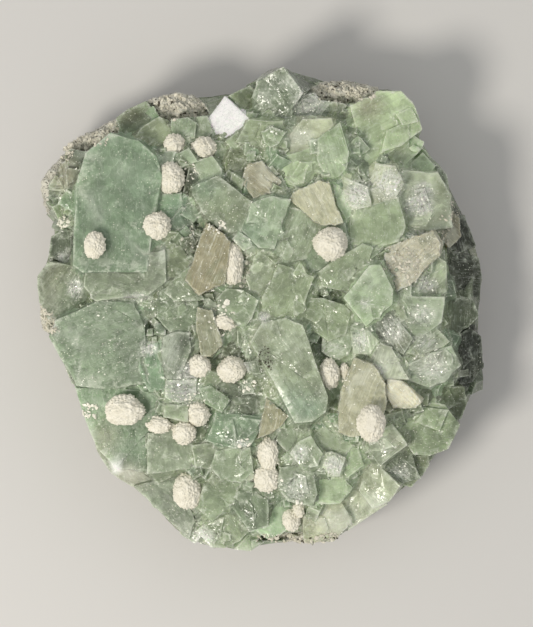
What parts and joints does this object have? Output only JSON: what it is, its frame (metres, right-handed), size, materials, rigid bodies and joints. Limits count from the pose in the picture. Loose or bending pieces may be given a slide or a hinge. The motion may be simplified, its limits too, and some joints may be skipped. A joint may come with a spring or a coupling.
{
  "type": "apophyllite crystal cluster",
  "caption": "Natural pale green apophyllite specimen: intergrown blocky crystals with chalky white spherules and pale blades on a crusty matrix, lying flat to be displayed",
  "frame": {"origin": "middle of the footprint, on the flat underside of the matrix", "axes": "+Z out of the crystal side, +X to the right and +Y to the top of the specimen seen from the crystal side"},
  "size_m": [0.142, 0.154, 0.0556],
  "materials": {
    "matrix_crust": "rough granular",
    "apophyllite": "vitreous, milky translucent",
    "pale_blade": "satin",
    "spherule_white": "chalky"
  },
  "bodies": {
    "root": {"beige_block": "pale_blade", "beige_column": "pale_blade", "beige_knob": "pale_blade", "brown_block": "pale_blade", "cream_blade": "pale_blade", "crystal_cluster": "apophyllite", "matrix": "matrix_crust", "spherule_01": "spherule_white", "spherule_02": "spherule_white", "spherule_03": "spherule_white", "spherule_04": "spherule_white", "spherule_05": "spherule_white", "spherule_06": "spherule_white", "spherule_07": "spherule_white", "spherule_08": "spherule_white", "spherule_09": "spherule_white", "spherule_10": "spherule_white", "spherule_11": "spherule_white", "spherule_12": "spherule_white", "spherule_13": "spherule_white", "spherule_14": "spherule_white", "spherule_15": "spherule_white", "spherule_16": "spherule_white", "spherule_17": "spherule_white", "spherule_18": "spherule_white", "spherule_19": "spherule_white", "spherule_20": "spherule_white", "spherule_twin": "spherule_white", "striated_blade": "pale_blade", "tan_blade": "pale_blade", "tan_wedge": "pale_blade", "white_crusted": "pale_blade"}
  },
  "joints": []
}
